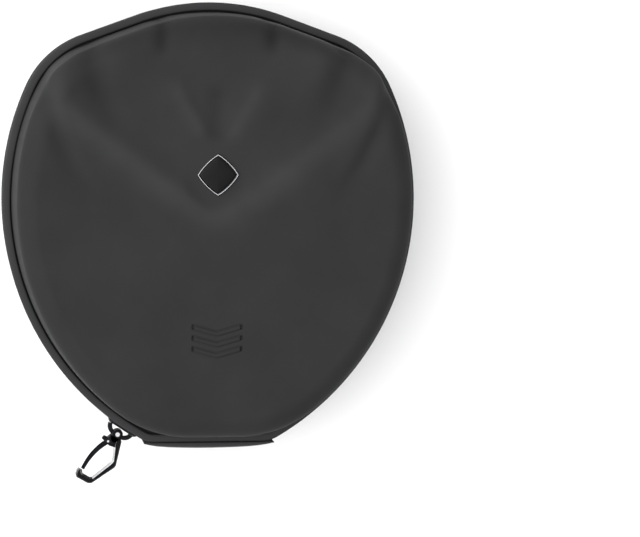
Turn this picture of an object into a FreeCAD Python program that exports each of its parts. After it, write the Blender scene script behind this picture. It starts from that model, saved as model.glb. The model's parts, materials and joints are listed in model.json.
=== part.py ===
import FreeCAD, Part
import math
import os

# Headphone carrying case, lying on its back: +Z out of the front, +Y to the rounded crown,
# the hinge along -Y. Origin at the middle of the flat resting face. Sizes in millimetres.

# Outline of the rim, from the crown round to the hinge; headings are in degrees
HALF_HEIGHT = 98.8
CROWN_RADIUS = 96.0
CROWN_ANGLE = 20.0
SLOPE_LENGTH = 26.0
SHOULDER_RADIUS = 43.0
SHOULDER_END = 65.5
SIDE_RADIUS = 124.0
SIDE_END = 150.0
HEEL_RADIUS = 12.7
SHELL_SIDE_END = 141.0
SHELL_HEEL_RADIUS = 56.7

# Moulded shells
TOTAL_DEPTH = 88.0
PARTING_Z = TOTAL_DEPTH / 2
RIM_GAP = 0.5
SHELL_HEIGHT = PARTING_Z - RIM_GAP
WALL_LEAN = 6.0
EDGE_ROUND = 9.5
EDGE_ANGLES = (0, 3, WALL_LEAN, 16, 28, 40, 52, 65, 78, 90)
SKIN = 1.0
FOAM = 4.0
LINING = 0.8
GLUE_GAP = 0.1

# Rim, seen across: insets are measured inwards from the outermost line of the case,
# heights from the parting plane
SHELL_INSET = 4.0
BINDING_WIDTH = 3.0
BINDING_LOW = 6.5
BINDING_HIGH = 11.5
TAPE_OUTER = 1.8
TAPE_INNER = 2.2
TAPE_LOW = 2.1
TAPE_HIGH = 9.5
FLANGE_OUTER = 2.6
FLANGE_LOW = 8.0
FLANGE_HIGH = 9.2
SEAM_CLEARANCE = 0.05
TEETH_OUTER = 1.5
TEETH_INNER = 2.5
TEETH_LOW = 0.5
TEETH_HIGH = 2.0
TEETH_END = 148.2
STOP_HEADING = 149.0
STOP_LENGTH = 2.0
STOP_HALF_HEIGHT = 1.9

# Fabric hinge strip
HINGE_WIDTH = 59.0
HINGE_THICK = 2.85
HINGE_HEIGHT = 12.0
HINGE_GAP = 0.1
HINGE_SEAM = 0.15
HINGE_ROUND = 2.0

# Badge and its fastening
BADGE_Y = 23.3
BADGE_HALF = 9.2
BADGE_BOW = 0.56
BEZEL_WIDTH = 1.0
BEZEL_HEIGHT = 1.5
INSERT_HEIGHT = 1.1
BADGE_SEAT = 0.05
POST_SPACING = 7.0
POST_RADIUS = 1.0
POST_CLEARANCE = 0.15
NUT_RADIUS = 2.6
NUT_RECESS_RADIUS = 3.0
NUT_THICK = 0.55
NUT_LIFT = 0.25
NUT_GRIP = 0.03
NUT_RECESS = 1.0

# Lid pocket
POCKET_HEIGHT = 20.0
POCKET_TOP_Y = 8.0
NET_THICK = 0.5
ELASTIC_RADIUS = 1.5
POCKET_CLEARANCE = 0.4

# Zip slider
SLIDER_HEADING = 146.0
SLIDER_LENGTH = 15.0
SLIDER_HALF_WIDTH = 4.3
PLATE = 1.1
PLATE_CORNER = 1.8
FLANGE_THICK = 0.6
FLANGE_DEPTH = 1.3
POST_FROM = 2.0
POST_TO = 5.0
POST_HALF = 0.3
INNER_PLATE_FROM = 2.9
INNER_PLATE_TO = 3.7
INNER_PLATE_SHORTER = 1.0
OVERLAP = 0.1
EYE_REACH = 4.6
BAIL_OUTER = (6.2, 4.7)
BAIL_INNER = (4.2, 2.5)
BAIL_THICK = 2.0
BOSS_RADIUS = 2.2

# Snap clip, in clip coordinates: away from the eye, and across towards the spine
CLIP_HALF = 2.3
SLOT_HALF = 1.15
GATE_HALF = 0.95
PIN_RADIUS = 1.0
PIN_HOLE = 1.05
EYE_RADIUS = 2.6
EYE_SLOT = 4.3
GATE_PIVOT = (4.9, -1.9)
GATE_PIN_RADIUS = 0.5
GATE_PIN_HOLE = 0.55
GATE_BOSS = 1.5
GATE_BOSS_ROOM = 0.8
FRAME_OUTER = [(0.0, 2.6), (4.5, 3.6), (12.5, 7.9), (25.3, 3.2), (26.4, -4.0), (23.0, -5.5),
               (20.5, -5.3), (6.5, -4.0), (0.0, -2.6)]
FRAME_INNER = [(5.6, 1.6), (12.0, 5.4), (23.0, 1.2), (23.6, -2.9), (7.6, -2.0)]
FRAME_MOUTH = [(7.3, -1.2), (7.3, -7.0), (21.9, -7.0), (21.9, -1.2)]
LEVER_SLOT = [(0.6, -7.5), (0.6, -2.0), (4.9, 0.3), (7.6, 0.3), (7.6, -7.5)]
GATE_ARM = [(5.2, -0.9), (14, -2.9), (21.6, -3.1), (21.6, -4.9), (14, -4.9), (4.6, -3.2)]
GATE_LEVER = [(4.4, -2.4), (3.4, -7.2), (1.9, -7.2), (3.6, -1.4)]
SPRING_RADIUS = 1.2
SPRING_INNER = 0.6
SPRING_THICK = 0.44
SPRING_Z = 0.46
SPRING_SEAT = 0.4

Z_AXIS = FreeCAD.Vector(0, 0, 1)


def vec(x, y, z=0.0):
    return FreeCAD.Vector(x, y, z)


def follow_arc(x, y, heading, radius, turn):
    """Follow an arc that turns right by `turn` degrees; give its end point and its centre."""
    start = math.radians(heading)
    end = math.radians(heading + turn)
    cx = x - radius * math.sin(start)
    cy = y - radius * math.cos(start)
    return cx + radius * math.sin(end), cy + radius * math.cos(end), cx, cy


def right_half(inset, shell=False):
    """The right half of the outline, from the crown round to the hinge, as point lists.

    The rim runs straight across the hinge; the moulded shell has a rounder foot."""
    side_end = SHELL_SIDE_END if shell else SIDE_END
    heel_radius = SHELL_HEEL_RADIUS if shell else HEEL_RADIUS
    x, y, heading = 0.0, HALF_HEIGHT - inset, 0.0
    steps = []
    arcs = [(CROWN_RADIUS, CROWN_ANGLE), None, (SHOULDER_RADIUS, SHOULDER_END - CROWN_ANGLE),
            (SIDE_RADIUS, side_end - SHOULDER_END), (heel_radius, 180.0 - side_end)]
    for arc in arcs:
        if arc is None:
            slope = math.radians(heading)
            end_x = x + SLOPE_LENGTH * math.cos(slope)
            end_y = y - SLOPE_LENGTH * math.sin(slope)
            steps.append([(x, y), (end_x, end_y)])
        else:
            radius, turn = arc[0] - inset, arc[1]
            mid_x, mid_y, _, _ = follow_arc(x, y, heading, radius, turn / 2)
            end_x, end_y, _, _ = follow_arc(x, y, heading, radius, turn)
            steps.append([(x, y), (mid_x, mid_y), (end_x, end_y)])
            heading += turn
        x, y = end_x, end_y
    return steps


def bottom_y():
    """Where the outline's straight hinge side runs."""
    return right_half(0.0)[-1][-1][1]


def side_arc_centre():
    """Centre of the large arc on the right side; the left one mirrors it."""
    x, y = right_half(0.0)[3][0]
    _, _, cx, cy = follow_arc(x, y, SHOULDER_END, SIDE_RADIUS, 1.0)
    return cx, cy


def edge_through(points):
    """A straight edge through two points or an arc through three."""
    if len(points) == 2:
        return Part.LineSegment(*points).toShape()
    return Part.Arc(*points).toShape()


def outline_wire(inset, z, scale=1.0, shell=False):
    """Closed outline at one height; `scale` shrinks it about the middle."""
    def place(point, mirror=1.0):
        return vec(mirror * point[0] * scale, point[1] * scale, z)

    right = right_half(inset, shell)
    end = right[-1][-1]
    edges = [edge_through([place(p) for p in step]) for step in right]
    edges.append(edge_through([place(end), place(end, -1.0)]))
    edges += [edge_through([place(p, -1.0) for p in reversed(step)]) for step in reversed(right)]
    return Part.Wire(edges)


def ring(outer, inner, z_low, z_high):
    """Band that follows the rim between two insets and two heights above the parting plane."""
    height = z_high - z_low
    body = Part.Face(outline_wire(outer, PARTING_Z + z_low)).extrude(vec(0, 0, height))
    core = Part.Face(outline_wire(inner, PARTING_Z + z_low - 1)).extrude(vec(0, 0, height + 2))
    return body.cut(core)


def profile(depth, angle):
    """Inset and height of the shell `depth` below the outer skin, where its surface tilts by `angle`.

    The wall rises upright from the rim, leans in a little, then rounds over to the flat face."""
    tilt = math.radians(angle)
    lean = math.radians(WALL_LEAN)
    wall_height = SHELL_HEIGHT - EDGE_ROUND * (1 - math.sin(lean))
    wall_inset = wall_height * math.tan(lean) / 2
    if angle < WALL_LEAN:
        share = math.tan(tilt) / math.tan(lean)
        inset = wall_inset * share ** 2
        height = wall_height * share
    else:
        inset = wall_inset + EDGE_ROUND * (math.cos(lean) - math.cos(tilt))
        height = SHELL_HEIGHT - EDGE_ROUND * (1 - math.sin(tilt))
    return inset + depth * math.cos(tilt), height - depth * math.sin(tilt)


def shell_section(depth, inset, z):
    """Outline of the shell where its edge has come in by `inset`, `depth` below the outer skin."""
    base = SHELL_INSET + depth
    half_width = side_arc_centre()[0] + SIDE_RADIUS - base
    return outline_wire(base, z, 1 - (inset - depth) / half_width, shell=True)


def section_at(depth, height):
    """Outline of the shell at a height above its rim, and how far its edge has come in there."""
    low, high = 0.0, 90.0
    for _ in range(40):
        middle = (low + high) / 2
        if profile(depth, middle)[1] < height:
            low = middle
        else:
            high = middle
    inset = profile(depth, low)[0]
    return shell_section(depth, inset, PARTING_Z + RIM_GAP + height), inset


def dome(depth):
    """Solid dome whose surface lies `depth` below the outer skin; front half."""
    wires = []
    for angle in EDGE_ANGLES:
        inset, height = profile(depth, angle)
        wires.append(shell_section(depth, inset, PARTING_Z + RIM_GAP + height))
    return Part.makeLoft(wires, True, True)


def layer(outer_depth, inner_depth):
    """One layer of the moulded front shell."""
    return dome(outer_depth).cut(dome(inner_depth))


def skin_with_flange():
    """Outer skin of the front, with the flat edge that is sewn into the rim binding."""
    z = PARTING_Z + FLANGE_LOW
    thick = FLANGE_HIGH - FLANGE_LOW
    flange = Part.Face(outline_wire(FLANGE_OUTER, z)).extrude(vec(0, 0, thick))
    inside, _ = section_at(SKIN / 2, FLANGE_LOW - RIM_GAP)
    core = Part.Face(inside).extrude(vec(0, 0, 3 * thick))
    core.translate(vec(0, 0, -thick))
    return layer(0.0, SKIN).fuse(flange.cut(core)).removeSplitter()


def flip_to_back(shape):
    """Mirror a front piece to the back half."""
    return shape.mirror(vec(0, 0, PARTING_Z), Z_AXIS)


def binding():
    """Rolled fabric binding round the rim, slotted for the zip tape and the skin's edge."""
    gap = SEAM_CLEARANCE
    band = ring(0.0, BINDING_WIDTH, BINDING_LOW, BINDING_HIGH)
    tape_slot = ring(TAPE_OUTER - gap, TAPE_INNER + gap, BINDING_LOW - 1, TAPE_HIGH + gap)
    flange_slot = ring(FLANGE_OUTER - gap, BINDING_WIDTH + 1, FLANGE_LOW - gap, FLANGE_HIGH + gap)
    return band.cut(tape_slot).cut(flange_slot)


def teeth():
    """Row of zip coil along one half, open across the hinge."""
    row = ring(TEETH_OUTER, TEETH_INNER, TEETH_LOW, TEETH_HIGH)
    x_end = side_arc_centre()[0] + SIDE_RADIUS * math.sin(math.radians(TEETH_END))
    opening = Part.makeBox(2 * x_end, HALF_HEIGHT, TOTAL_DEPTH, vec(-x_end, -1.5 * HALF_HEIGHT, 0))
    return row.cut(opening)


def on_outline(shape, heading, mirror=-1.0):
    """Move a shape drawn at the origin, facing -Y, to a heading on the side arc."""
    cx, cy = side_arc_centre()
    h = math.radians(heading)
    x = mirror * (cx + SIDE_RADIUS * math.sin(h))
    y = cy + SIDE_RADIUS * math.cos(h)
    moved = shape.copy()
    moved.rotate(vec(0, 0), Z_AXIS, mirror * (180.0 - heading))
    moved.translate(vec(x, y, PARTING_Z))
    return moved


def block(x0, x1, y0, y1, z0, z1):
    return Part.makeBox(x1 - x0, y1 - y0, z1 - z0, vec(x0, y0, z0))


def zipper_stops():
    """Two crimped metal stops, one at each end of the zip."""
    half = STOP_LENGTH / 2
    stop = block(-half, half, TEETH_OUTER, TEETH_INNER, -STOP_HALF_HEIGHT, STOP_HALF_HEIGHT)
    return on_outline(stop, STOP_HEADING, -1.0), on_outline(stop, STOP_HEADING, 1.0)


def hinge_leaf():
    """Front half of the hinge strip; the two halves meet at the fold line."""
    low = PARTING_Z + HINGE_GAP
    high = PARTING_Z + HINGE_HEIGHT
    y_inner = bottom_y() - HINGE_SEAM
    leaf = block(-HINGE_WIDTH / 2, HINGE_WIDTH / 2, y_inner - HINGE_THICK, y_inner, low, high)
    far = []
    for edge in leaf.Edges:
        box = edge.BoundBox
        if box.YMax < y_inner - HINGE_THICK / 2 and box.ZMin > low + 1:
            far.append(edge)
    return leaf.makeFillet(HINGE_ROUND, far)


def diamond(half, z_low, z_high):
    """Upright prism with a diamond outline and slightly bowed sides."""
    bow = half * BADGE_BOW
    corners = [(half, 0), (0, half), (-half, 0), (0, -half)]
    edges = []
    for i in range(4):
        a = corners[i]
        b = corners[(i + 1) % 4]
        middle = vec(math.copysign(bow, a[0] + b[0]), math.copysign(bow, a[1] + b[1]))
        edges.append(Part.Arc(vec(*a), middle, vec(*b)).toShape())
    prism = Part.Face(Part.Wire(edges)).extrude(vec(0, 0, z_high - z_low))
    prism.translate(vec(0, BADGE_Y, z_low))
    return prism


def badge_posts(radius, z_low, z_high):
    """Two upright cylinders behind the badge, side by side."""
    posts = []
    for side in (-1, 1):
        base = vec(side * POST_SPACING / 2, BADGE_Y, z_low)
        posts.append(Part.makeCylinder(radius, z_high - z_low, base))
    return Part.makeCompound(posts)


def foam_inner_z():
    """Height of the foam's inner face behind the badge."""
    return TOTAL_DEPTH - SKIN - GLUE_GAP - FOAM


def badge():
    """Bezel, insert with its two posts, and the push nuts that hold the posts."""
    face_z = TOTAL_DEPTH + BADGE_SEAT
    hole = diamond(BADGE_HALF - BEZEL_WIDTH, face_z - 1, face_z + BEZEL_HEIGHT + 1)
    bezel = diamond(BADGE_HALF, face_z, face_z + BEZEL_HEIGHT).cut(hole)
    insert = diamond(BADGE_HALF - BEZEL_WIDTH - GLUE_GAP, face_z, face_z + INSERT_HEIGHT)
    posts = badge_posts(POST_RADIUS, foam_inner_z() + GLUE_GAP, face_z)
    insert = insert.fuse(posts.Solids).removeSplitter()
    nut_z = foam_inner_z() + NUT_LIFT
    nuts = badge_posts(NUT_RADIUS, nut_z, nut_z + NUT_THICK)
    nuts = nuts.cut(badge_posts(POST_RADIUS + NUT_GRIP, 0, TOTAL_DEPTH))
    return bezel, insert, nuts


def lid_pocket():
    """Net panel across the lower part of the lid, and the elastic along its open edge."""
    depth = SKIN + FOAM + LINING + 2 * GLUE_GAP
    _, lining_inset = section_at(depth, POCKET_HEIGHT)
    inset = lining_inset + POCKET_CLEARANCE
    z = PARTING_Z + RIM_GAP + POCKET_HEIGHT
    panel = Part.Face(shell_section(depth, inset, z)).extrude(vec(0, 0, NET_THICK))
    below = block(-HALF_HEIGHT, HALF_HEIGHT, -HALF_HEIGHT, POCKET_TOP_Y, 0, TOTAL_DEPTH)
    net = panel.common(below)
    elastic_half = net.BoundBox.XMax - 2 * ELASTIC_RADIUS
    start = vec(-elastic_half, POCKET_TOP_Y + ELASTIC_RADIUS + GLUE_GAP, z + NET_THICK / 2)
    elastic = Part.makeCylinder(ELASTIC_RADIUS, 2 * elastic_half, start, vec(1, 0, 0))
    return net, elastic


def slider_body():
    """Zip slider: outer plate, back flange, post between the rows, and the inner plate."""
    half = SLIDER_LENGTH / 2
    w = SLIDER_HALF_WIDTH
    short = half - INNER_PLATE_SHORTER
    outer = block(-half, half, -PLATE, 0.0, -w, w)
    corners = [e for e in outer.Edges if abs(e.BoundBox.YLength - PLATE) < 0.01]
    outer = outer.makeFillet(PLATE_CORNER, corners)
    flange = block(-half, half, -OVERLAP, FLANGE_DEPTH, -w, -w + FLANGE_THICK)
    post = block(POST_FROM, POST_TO, -OVERLAP, INNER_PLATE_FROM + OVERLAP, -POST_HALF, POST_HALF)
    inner = block(-short, short, INNER_PLATE_FROM, INNER_PLATE_TO, -w, POST_HALF)
    return outer.fuse([flange, post, inner]).removeSplitter()


def half_ellipse(semi_x, semi_y, base_y):
    """Face of the half ellipse that bulges towards -Y from a straight base."""
    curve = Part.Ellipse(vec(0, 0), semi_x, semi_y)
    arc = Part.ArcOfEllipse(curve, math.pi, 2 * math.pi).toShape()
    base = Part.LineSegment(vec(semi_x, 0), vec(-semi_x, 0)).toShape()
    face = Part.Face(Part.Wire([arc, base]))
    face.translate(vec(0, base_y))
    return face


def slider_lug():
    """Arched bail on the slider's plate, thickened at its crest round the puller's pin."""
    base = -PLATE - 0.02
    arch = half_ellipse(*BAIL_OUTER, base).cut(half_ellipse(*BAIL_INNER, base))
    arch = arch.extrude(vec(0, 0, BAIL_THICK))
    boss = Part.makeCylinder(BOSS_RADIUS, BAIL_THICK, vec(0, -EYE_REACH, 0))
    hole = Part.makeCylinder(PIN_HOLE, 2 * BAIL_THICK, vec(0, -EYE_REACH, -1))
    lug = arch.fuse(boss).cut(hole).removeSplitter()
    lug.translate(vec(0, 0, -BAIL_THICK / 2))
    return lug


def clip_point(along, across):
    """Clip coordinates to slider coordinates."""
    return vec(across, -EYE_REACH - along)


def clip_prism(points, half_thick):
    """Flat piece of the clip with a straight-sided outline, centred on the clip's plane."""
    wire = Part.makePolygon([clip_point(*p) for p in points + [points[0]]])
    prism = Part.Face(wire).extrude(vec(0, 0, 2 * half_thick))
    prism.translate(vec(0, 0, -half_thick))
    return prism


def clip_disc(along, across, radius, half_thick):
    centre = clip_point(along, across)
    return Part.makeCylinder(radius, 2 * half_thick, vec(centre.x, centre.y, -half_thick))


def clip_frame():
    """Snap clip: forked eye, spine, closed foot and short hook, open along one side for the gate."""
    through = CLIP_HALF + 1
    body = clip_prism(FRAME_OUTER, CLIP_HALF).fuse(clip_disc(0, 0, EYE_RADIUS, CLIP_HALF))
    body = body.cut(clip_prism(FRAME_INNER, through))
    body = body.cut(clip_prism(FRAME_MOUTH, through))
    body = body.cut(clip_disc(0, 0, EYE_SLOT, SLOT_HALF))
    gate_slot = clip_disc(*GATE_PIVOT, GATE_BOSS + GATE_BOSS_ROOM, SLOT_HALF)
    body = body.cut(gate_slot.fuse(clip_prism(LEVER_SLOT, SLOT_HALF)))
    body = body.cut(clip_disc(0, 0, PIN_HOLE, through))
    return body.cut(clip_disc(*GATE_PIVOT, GATE_PIN_HOLE, through)).removeSplitter()


def clip_gate():
    """Sprung gate with the thumb lever beyond its pivot, recessed for the spring."""
    arm = clip_prism(GATE_ARM, GATE_HALF)
    boss = clip_disc(*GATE_PIVOT, GATE_BOSS, GATE_HALF)
    lever = clip_prism(GATE_LEVER, GATE_HALF)
    gate = arm.fuse([boss, lever]).cut(clip_disc(*GATE_PIVOT, GATE_PIN_HOLE, CLIP_HALF))
    recess = clip_disc(*GATE_PIVOT, SPRING_RADIUS + 0.1, GATE_HALF)
    recess.translate(vec(0, 0, GATE_HALF + SPRING_SEAT))
    return gate.cut(recess).removeSplitter()


def clip_small_parts():
    """Puller pin, gate pin and the coil spring beside the gate."""
    puller_pin = clip_disc(0, 0, PIN_RADIUS, CLIP_HALF)
    gate_pin = clip_disc(*GATE_PIVOT, GATE_PIN_RADIUS, CLIP_HALF)
    spring = clip_disc(*GATE_PIVOT, SPRING_RADIUS, SPRING_THICK / 2)
    spring = spring.cut(clip_disc(*GATE_PIVOT, SPRING_INNER, SPRING_THICK))
    spring.translate(vec(0, 0, SPRING_Z + SPRING_THICK / 2))
    return puller_pin, gate_pin, spring


def save(name, shape):
    shape.exportStep(os.path.join("parts", name + ".step"))


def save_halves():
    """Pieces that both halves of the case share; the front ones are pierced for the badge."""
    inner_skin = SKIN + GLUE_GAP
    inner_foam = inner_skin + FOAM + GLUE_GAP
    halves = {
        "outer_skin": skin_with_flange(),
        "foam_shell": layer(inner_skin, inner_skin + FOAM),
        "lining": layer(inner_foam, inner_foam + LINING),
        "rim_binding": binding(),
        "zipper_tape": ring(TAPE_OUTER, TAPE_INNER, TAPE_LOW, TAPE_HIGH),
        "zipper_teeth": teeth(),
        "hinge_leaf": hinge_leaf(),
    }
    post_holes = badge_posts(POST_RADIUS + POST_CLEARANCE, foam_inner_z() - 1, TOTAL_DEPTH + 1)
    nut_recess = badge_posts(NUT_RECESS_RADIUS, foam_inner_z() - GLUE_GAP / 2, foam_inner_z() + NUT_RECESS)
    for name, shape in halves.items():
        save("back_" + name, flip_to_back(shape))
        if name in ("outer_skin", "foam_shell"):
            shape = shape.cut(post_holes)
        if name == "foam_shell":
            shape = shape.cut(nut_recess)
        save("front_" + name, shape)


def main():
    os.makedirs("parts", exist_ok=True)
    save_halves()
    bezel, insert, nuts = badge()
    save("badge_bezel", bezel)
    save("badge_insert", insert)
    save("badge_push_nuts", nuts)
    net, elastic = lid_pocket()
    save("lid_pocket_net", net)
    save("lid_pocket_elastic", elastic)
    save("zipper_stops", Part.makeCompound(zipper_stops()))

    puller_pin, gate_pin, spring = clip_small_parts()
    moving = {
        "slider_body": slider_body(),
        "slider_lug": slider_lug(),
        "puller_pin": puller_pin,
        "clip_frame": clip_frame(),
        "clip_gate": clip_gate(),
        "gate_pin": gate_pin,
        "gate_spring": spring,
    }
    for name, shape in moving.items():
        save(name, on_outline(shape, SLIDER_HEADING))


main()
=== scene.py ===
import json
import math

import bmesh
import bpy
import numpy as np
from mathutils import Matrix, Vector


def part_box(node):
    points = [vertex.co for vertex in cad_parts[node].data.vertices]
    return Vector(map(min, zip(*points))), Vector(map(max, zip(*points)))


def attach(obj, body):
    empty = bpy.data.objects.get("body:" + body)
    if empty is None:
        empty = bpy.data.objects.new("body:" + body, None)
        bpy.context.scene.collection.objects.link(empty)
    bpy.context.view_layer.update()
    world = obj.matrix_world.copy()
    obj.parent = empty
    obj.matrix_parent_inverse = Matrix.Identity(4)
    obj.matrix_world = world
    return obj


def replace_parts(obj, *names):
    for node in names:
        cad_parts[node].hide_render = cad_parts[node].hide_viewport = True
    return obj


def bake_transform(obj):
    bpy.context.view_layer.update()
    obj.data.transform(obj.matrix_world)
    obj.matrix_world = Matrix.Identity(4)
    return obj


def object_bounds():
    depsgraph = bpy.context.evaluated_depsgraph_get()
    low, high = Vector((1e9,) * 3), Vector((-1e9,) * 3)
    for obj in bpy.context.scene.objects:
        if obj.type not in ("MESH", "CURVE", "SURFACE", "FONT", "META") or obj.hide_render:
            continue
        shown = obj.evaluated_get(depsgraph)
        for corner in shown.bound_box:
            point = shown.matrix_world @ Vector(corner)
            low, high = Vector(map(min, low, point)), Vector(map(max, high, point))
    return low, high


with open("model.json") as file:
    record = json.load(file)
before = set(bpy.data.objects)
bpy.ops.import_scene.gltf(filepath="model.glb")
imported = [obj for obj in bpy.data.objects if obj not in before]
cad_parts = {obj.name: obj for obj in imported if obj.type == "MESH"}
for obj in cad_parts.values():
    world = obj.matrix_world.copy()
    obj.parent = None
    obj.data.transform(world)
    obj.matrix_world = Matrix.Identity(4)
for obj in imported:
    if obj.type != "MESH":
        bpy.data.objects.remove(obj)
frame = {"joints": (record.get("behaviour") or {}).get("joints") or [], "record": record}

MM = 0.001
UP = np.array([0.0, 0.0, 1.0])
cad_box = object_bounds()

# Outline of the case, a chain of arcs from the crown round to the hinge (metres, degrees)
CROWN_RADIUS = 96 * MM
CROWN_TURN = 20.0
SLOPE_LENGTH = 26 * MM
SHOULDER_RADIUS = 43 * MM
SHOULDER_END = 65.5
SIDE_RADIUS = 124 * MM
RIM_SIDE_END = 150.0
RIM_HEEL_RADIUS = 12.7 * MM
SHELL_SIDE_END = 141.0
SHELL_HEEL_RADIUS = 56.7 * MM

# Form of each moulded shell, and the depths of its layers under the outer face
SHELL_INSET = 4.0 * MM
WALL_LEAN = math.radians(6.0)
EDGE_ROUND = 9.5 * MM
RIM_GAP = 0.5 * MM
SKIN = (0.0, 1.0 * MM)
FOAM = (1.1 * MM, 5.1 * MM)
LINING = (5.2 * MM, 6.0 * MM)

# The two halves: which way they face from the parting plane, their name and their body
HALVES = ((1, "front", "lid"), (-1, "back", "back"))


def corners(node):
    low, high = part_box(node)
    return Vector(low), Vector(high)


rim_low, rim_high = corners("front_rim_binding")
crown_y = rim_high.y
parting_z = (rim_low.z + corners("back_rim_binding")[1].z) / 2
face_z = corners("front_outer_skin")[1].z
joints = {joint["name"]: joint for joint in frame["joints"]}
arc_centre = Vector(joints["zip_travel"]["pos_m"])
eye = Vector(joints["puller_swing"]["pos_m"])
gate_pivot = Vector(joints["gate_open"]["pos_m"])
outward = (eye - arc_centre).normalized()


# ---------------------------------------------------------------- outline and meshes

def half_runs(shell):
    """The right half of the outline as (radius, length) runs; a radius of None is straight."""
    side_end = SHELL_SIDE_END if shell else RIM_SIDE_END
    heel = SHELL_HEEL_RADIUS if shell else RIM_HEEL_RADIUS
    runs = [
        (CROWN_RADIUS, CROWN_RADIUS * math.radians(CROWN_TURN)),
        (None, SLOPE_LENGTH),
        (SHOULDER_RADIUS, SHOULDER_RADIUS * math.radians(SHOULDER_END - CROWN_TURN)),
        (SIDE_RADIUS, SIDE_RADIUS * math.radians(side_end - SHOULDER_END)),
        (heel, heel * math.radians(180.0 - side_end)),
    ]
    total = sum(length for _, length in runs)
    foot_x = walk(runs, total)[0]
    return runs + [(None, foot_x)]


def walk(runs, distance):
    """Point and outward normal after a distance along the runs."""
    x, y, heading = 0.0, crown_y, 0.0
    for radius, length in runs:
        step = min(distance, length)
        if radius is None:
            x += step * math.cos(heading)
            y -= step * math.sin(heading)
        else:
            turned = heading + step / radius
            x += radius * (math.sin(turned) - math.sin(heading))
            y += radius * (math.cos(turned) - math.cos(heading))
            heading = turned
        distance -= step
        if distance <= 0:
            break
    return x, y, math.sin(heading), math.cos(heading)


def outline(count, shell=False):
    """Points and outward normals round the case, evenly spaced, clockwise from the crown."""
    runs = half_runs(shell)
    half = sum(length for _, length in runs)
    rows = []
    for k in range(count):
        distance = 2 * half * k / count
        if distance <= half:
            rows.append(walk(runs, distance))
        else:
            x, y, nx, ny = walk(runs, 2 * half - distance)
            rows.append((-x, y, -nx, ny))
    rows = np.array(rows)
    return rows[:, :2], rows[:, 2:], 2 * half


def make_mesh(name, verts, faces, look, body, uvs=None):
    """New smooth-shaded object in its look, that rides on a body when one is given."""
    mesh = bpy.data.meshes.new(name)
    mesh.from_pydata([tuple(v) for v in verts], [], faces)
    if uvs is not None:
        layer = mesh.uv_layers.new(name="along_across")
        for loop in mesh.loops:
            layer.data[loop.index].uv = uvs[loop.vertex_index]
    mesh.validate()
    bm = bmesh.new()
    bm.from_mesh(mesh)
    bmesh.ops.recalc_face_normals(bm, faces=bm.faces)
    bm.to_mesh(mesh)
    bm.free()
    mesh.materials.append(MATERIALS[look])
    piece = bpy.data.objects.new(name, mesh)
    bpy.context.scene.collection.objects.link(piece)
    shade(piece, smooth=True)
    if body is not None:
        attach(piece, body)
    return piece


def shade(piece, smooth):
    """Make every face of a piece smooth or flat."""
    piece.data.polygons.foreach_set("use_smooth", [smooth] * len(piece.data.polygons))


def apply_modifiers(piece):
    """Bake a piece's modifiers into its mesh."""
    graph = bpy.context.evaluated_depsgraph_get()
    baked = bpy.data.meshes.new_from_object(piece.evaluated_get(graph))
    piece.modifiers.clear()
    piece.data = baked


def bevel(piece, width, segments=2, angle=30.0):
    """Round a piece's sharp edges."""
    modifier = piece.modifiers.new("round", "BEVEL")
    modifier.width = width
    modifier.segments = segments
    modifier.limit_method = "ANGLE"
    modifier.angle_limit = math.radians(angle)
    apply_modifiers(piece)


def grid_faces(rows, columns, wrap_rows=False, wrap_columns=True, start=0):
    """Quads of a grid; its columns close into a loop unless told otherwise, and its rows can."""
    faces = []
    for r in range(rows if wrap_rows else rows - 1):
        row, below = start + r * columns, start + (r + 1) % rows * columns
        for c in range(columns if wrap_columns else columns - 1):
            right = (c + 1) % columns
            faces.append((row + c, row + right, below + right, below + c))
    return faces


def stack_faces(rings, sides, start=0):
    """Sides and flat ends of a stack of rings."""
    last = start + (rings - 1) * sides
    ends = [list(range(start, start + sides)), list(reversed(range(last, last + sides)))]
    return grid_faces(rings, sides, start=start) + ends


def circle(steps, radius=1.0):
    """Points evenly round a circle."""
    angles = [math.tau * k / steps for k in range(steps)]
    return [(radius * math.cos(angle), radius * math.sin(angle)) for angle in angles]


# ---------------------------------------------------------------- materials

BLEND_OVER = (0.3, 0.7)
BLUE_CAST = 1.03
WORN_EDGE = (0.52, 0.60)


def new_material(name, roughness, metallic=0.0, specular=0.5):
    material = bpy.data.materials.new(name)
    material.use_nodes = True
    tree = material.node_tree
    shader = tree.nodes["Principled BSDF"]
    shader.inputs["Specular IOR Level"].default_value = specular
    connect(tree, shader, roughness=roughness, metallic=metallic)
    return material, tree, shader


def connect(tree, node, **values):
    """Give a node's inputs, or its own properties, a value or another node's output.

    Each key is the name of the input with underscores for spaces, or of the property."""
    for key, value in values.items():
        label = key.replace("_", " ").title()
        if label not in node.inputs:
            setattr(node, key, value)
        elif isinstance(value, bpy.types.NodeSocket):
            tree.links.new(value, node.inputs[label])
        else:
            node.inputs[label].default_value = value
    return node


def add_node(tree, kind, **values):
    return connect(tree, tree.nodes.new(kind), **values)


def coordinates(tree, kind="Object"):
    return add_node(tree, "ShaderNodeTexCoord").outputs[kind]


def noise(tree, place, scale, detail=3.0, roughness=0.55):
    values = {"vector": place, "scale": scale, "detail": detail, "roughness": roughness}
    return add_node(tree, "ShaderNodeTexNoise", **values).outputs["Fac"]


def blend_colours(tree, factor, dark, light):
    """Colour that goes from dark to light over the middle of the factor's range."""
    ramp = add_node(tree, "ShaderNodeValToRGB", fac=factor)
    for element, colour, position in zip(ramp.color_ramp.elements, (dark, light), BLEND_OVER):
        element.color = (*colour, 1)
        element.position = position
    return ramp.outputs["Color"]


def between(tree, factor, low, high):
    """Value that goes from low to high with the factor."""
    return add_node(tree, "ShaderNodeMapRange", value=factor, to_min=low, to_max=high).outputs["Result"]


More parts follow.
